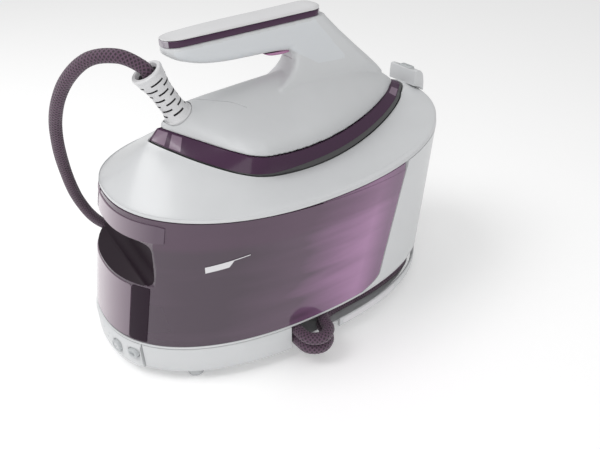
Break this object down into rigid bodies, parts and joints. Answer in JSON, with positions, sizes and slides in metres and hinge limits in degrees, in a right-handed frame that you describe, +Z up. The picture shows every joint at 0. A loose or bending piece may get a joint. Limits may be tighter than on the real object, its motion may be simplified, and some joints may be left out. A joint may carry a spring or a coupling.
{
  "type": "steam generator iron",
  "caption": "Laundry steam generator: an oval base station with a wrap-round water tank and hose store, and a pressure iron that rests on top, joined to it by a braided hose.",
  "frame": {"origin": "on the table under the middle of the whole length and width of the base", "axes": "+X along the base, from the control-panel end to the iron's nose; +Y towards the side the hose hangs down; +Z up"},
  "size_m": [0.3794, 0.2801, 0.2968],
  "materials": {
    "white_gloss": "gloss",
    "grey_plastic": "satin",
    "dark_plastic": "satin",
    "purple_clear": "clear gloss",
    "pink_clear": "clear gloss",
    "metal": "satin",
    "rubber": "matt",
    "braid": "braided",
    "board": "matt"
  },
  "bodies": {
    "base": {"base_plate": "white_gloss", "boiler": "metal", "control_board": "board", "control_panel": "white_gloss", "core_housing": "grey_plastic", "foot_1": "rubber", "foot_2": "rubber", "foot_3": "rubber", "foot_4": "rubber", "front_plinth": "white_gloss", "hose_coil": "braid", "hose_link": "braid", "hose_tail": "braid", "hose_gland": "grey_plastic", "hose_hub": "grey_plastic", "iron_rest": "dark_plastic", "lock_housing": "white_gloss", "mains_gland": "dark_plastic", "pump": "dark_plastic", "rear_housing": "white_gloss", "slot_rim": "white_gloss", "steam_hose": "braid", "steam_valve": "metal", "tank_floor": "white_gloss", "upper_housing": "white_gloss", "valve_seat": "dark_plastic", "waist_strip_far": "purple_clear", "waist_strip_near": "purple_clear"},
    "iron": {"soleplate": "metal", "steam_chamber": "metal", "iron_skirt": "dark_plastic", "iron_band": "purple_clear", "iron_body": "white_gloss", "handle_frame": "white_gloss", "handle_stripe": "purple_clear", "handle_pad": "white_gloss", "strain_relief": "grey_plastic"},
    "trigger": {"trigger": "pink_clear"},
    "water_tank": {"water_tank": "purple_clear", "tank_outlet": "dark_plastic"},
    "power_button": {"power_button": "grey_plastic"},
    "mode_button": {"mode_button": "grey_plastic"},
    "lock_button": {"lock_button": "grey_plastic"},
    "rinse_knob": {"rinse_knob": "grey_plastic"}
  },
  "joints": [
    {"name": "iron_lift", "type": "slide", "parent": "base", "child": "iron", "axis": [0, 0, 1], "range_m": [0, 0.12], "deforming": ["steam_hose"]},
    {"name": "trigger_press", "type": "hinge", "parent": "iron", "child": "trigger", "pos_m": [0.0226, 0, 0.263], "axis": [0, 1, 0], "range_deg": [0, 6], "stiffness_Nm_per_rad": 0.6},
    {"name": "tank_pull", "type": "slide", "parent": "base", "child": "water_tank", "axis": [-1, 0, 0], "range_m": [0, 0.3]},
    {"name": "power_press", "type": "slide", "parent": "base", "child": "power_button", "axis": [0.9689, 0.2476, 0], "range_m": [0, 0.0012], "stiffness_N_per_m": 400},
    {"name": "mode_press", "type": "slide", "parent": "base", "child": "mode_button", "axis": [0.9133, 0.4073, 0], "range_m": [0, 0.0012], "stiffness_N_per_m": 400},
    {"name": "lock_press", "type": "slide", "parent": "base", "child": "lock_button", "axis": [0, 0, -1], "range_m": [0, 0.002], "stiffness_N_per_m": 600},
    {"name": "rinse_knob_turn", "type": "hinge", "parent": "base", "child": "rinse_knob", "pos_m": [0.1306, 0.0883, 0.0831], "axis": [0.6737, 0.739, 0], "range_deg": [0, 90]}
  ]
}
